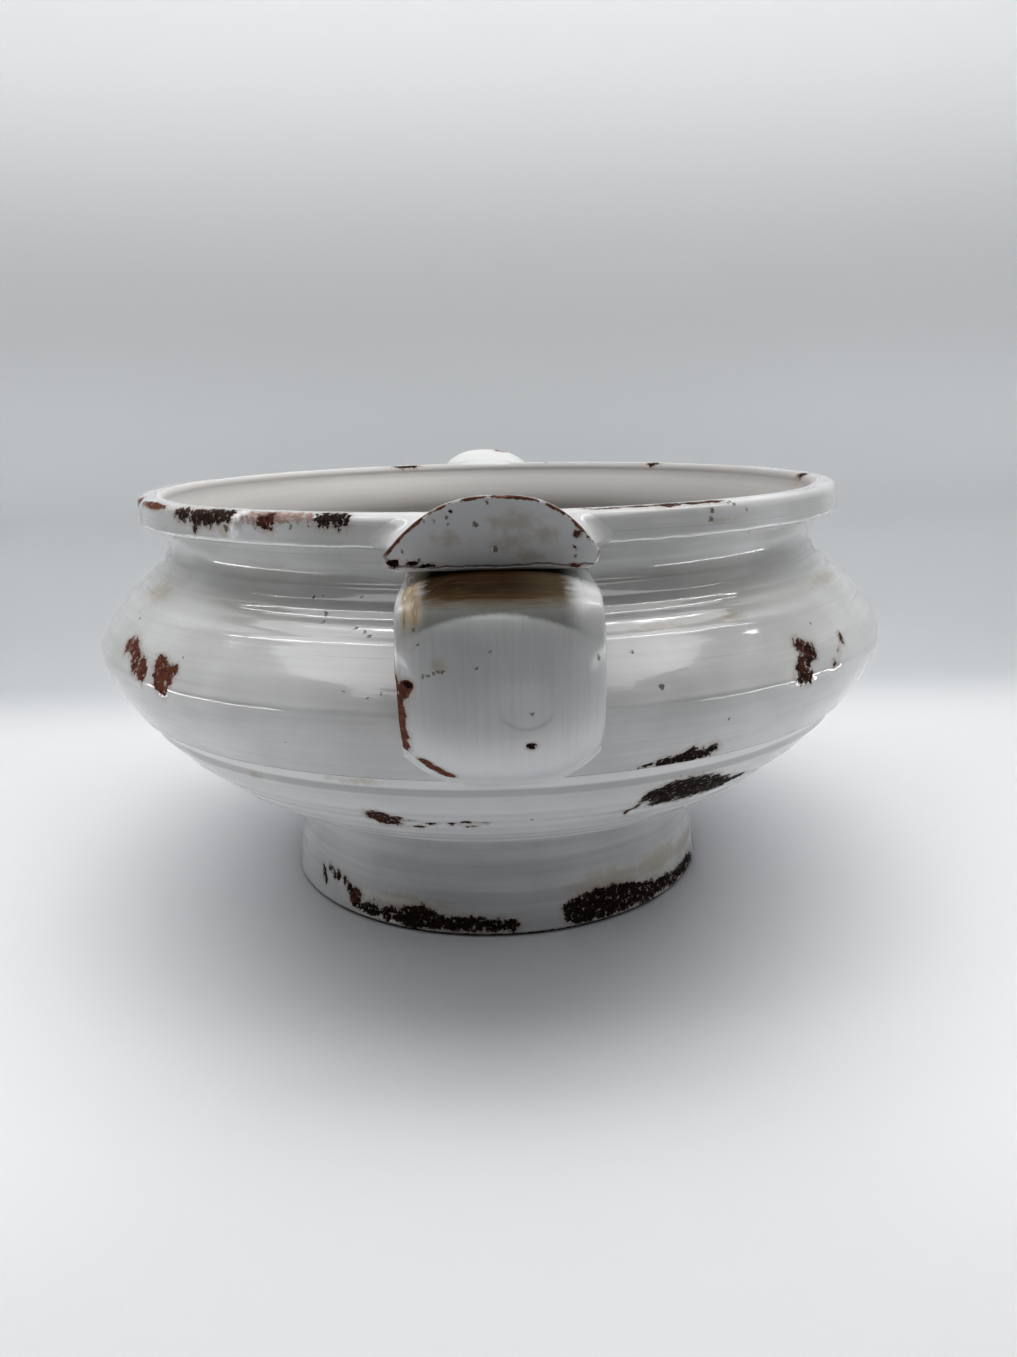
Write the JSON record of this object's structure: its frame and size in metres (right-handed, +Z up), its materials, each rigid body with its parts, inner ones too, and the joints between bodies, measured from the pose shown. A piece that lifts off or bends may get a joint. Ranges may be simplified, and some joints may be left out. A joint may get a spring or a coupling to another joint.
{
  "type": "handled bowl",
  "caption": "Round glazed earthenware bowl on a foot ring, with a rolled rim, a swelling belly, and strap handles under thumb tabs at front and back.",
  "frame": {"origin": "centre of the foot ring's standing face, on the table", "axes": "+Z up along the bowl's axis, Y through both handles with the front handle at -Y, +X to the right seen from the front"},
  "size_m": [0.2806, 0.3268, 0.151],
  "materials": {
    "worn_white_glaze": "glossy white glaze, chipped along edges down to red-brown clay"
  },
  "bodies": {
    "root": {"bowl_body": "worn_white_glaze", "foot_ring": "worn_white_glaze", "front_handle_strap": "worn_white_glaze", "back_handle_strap": "worn_white_glaze", "front_thumb_tab": "worn_white_glaze", "back_thumb_tab": "worn_white_glaze"}
  },
  "joints": []
}
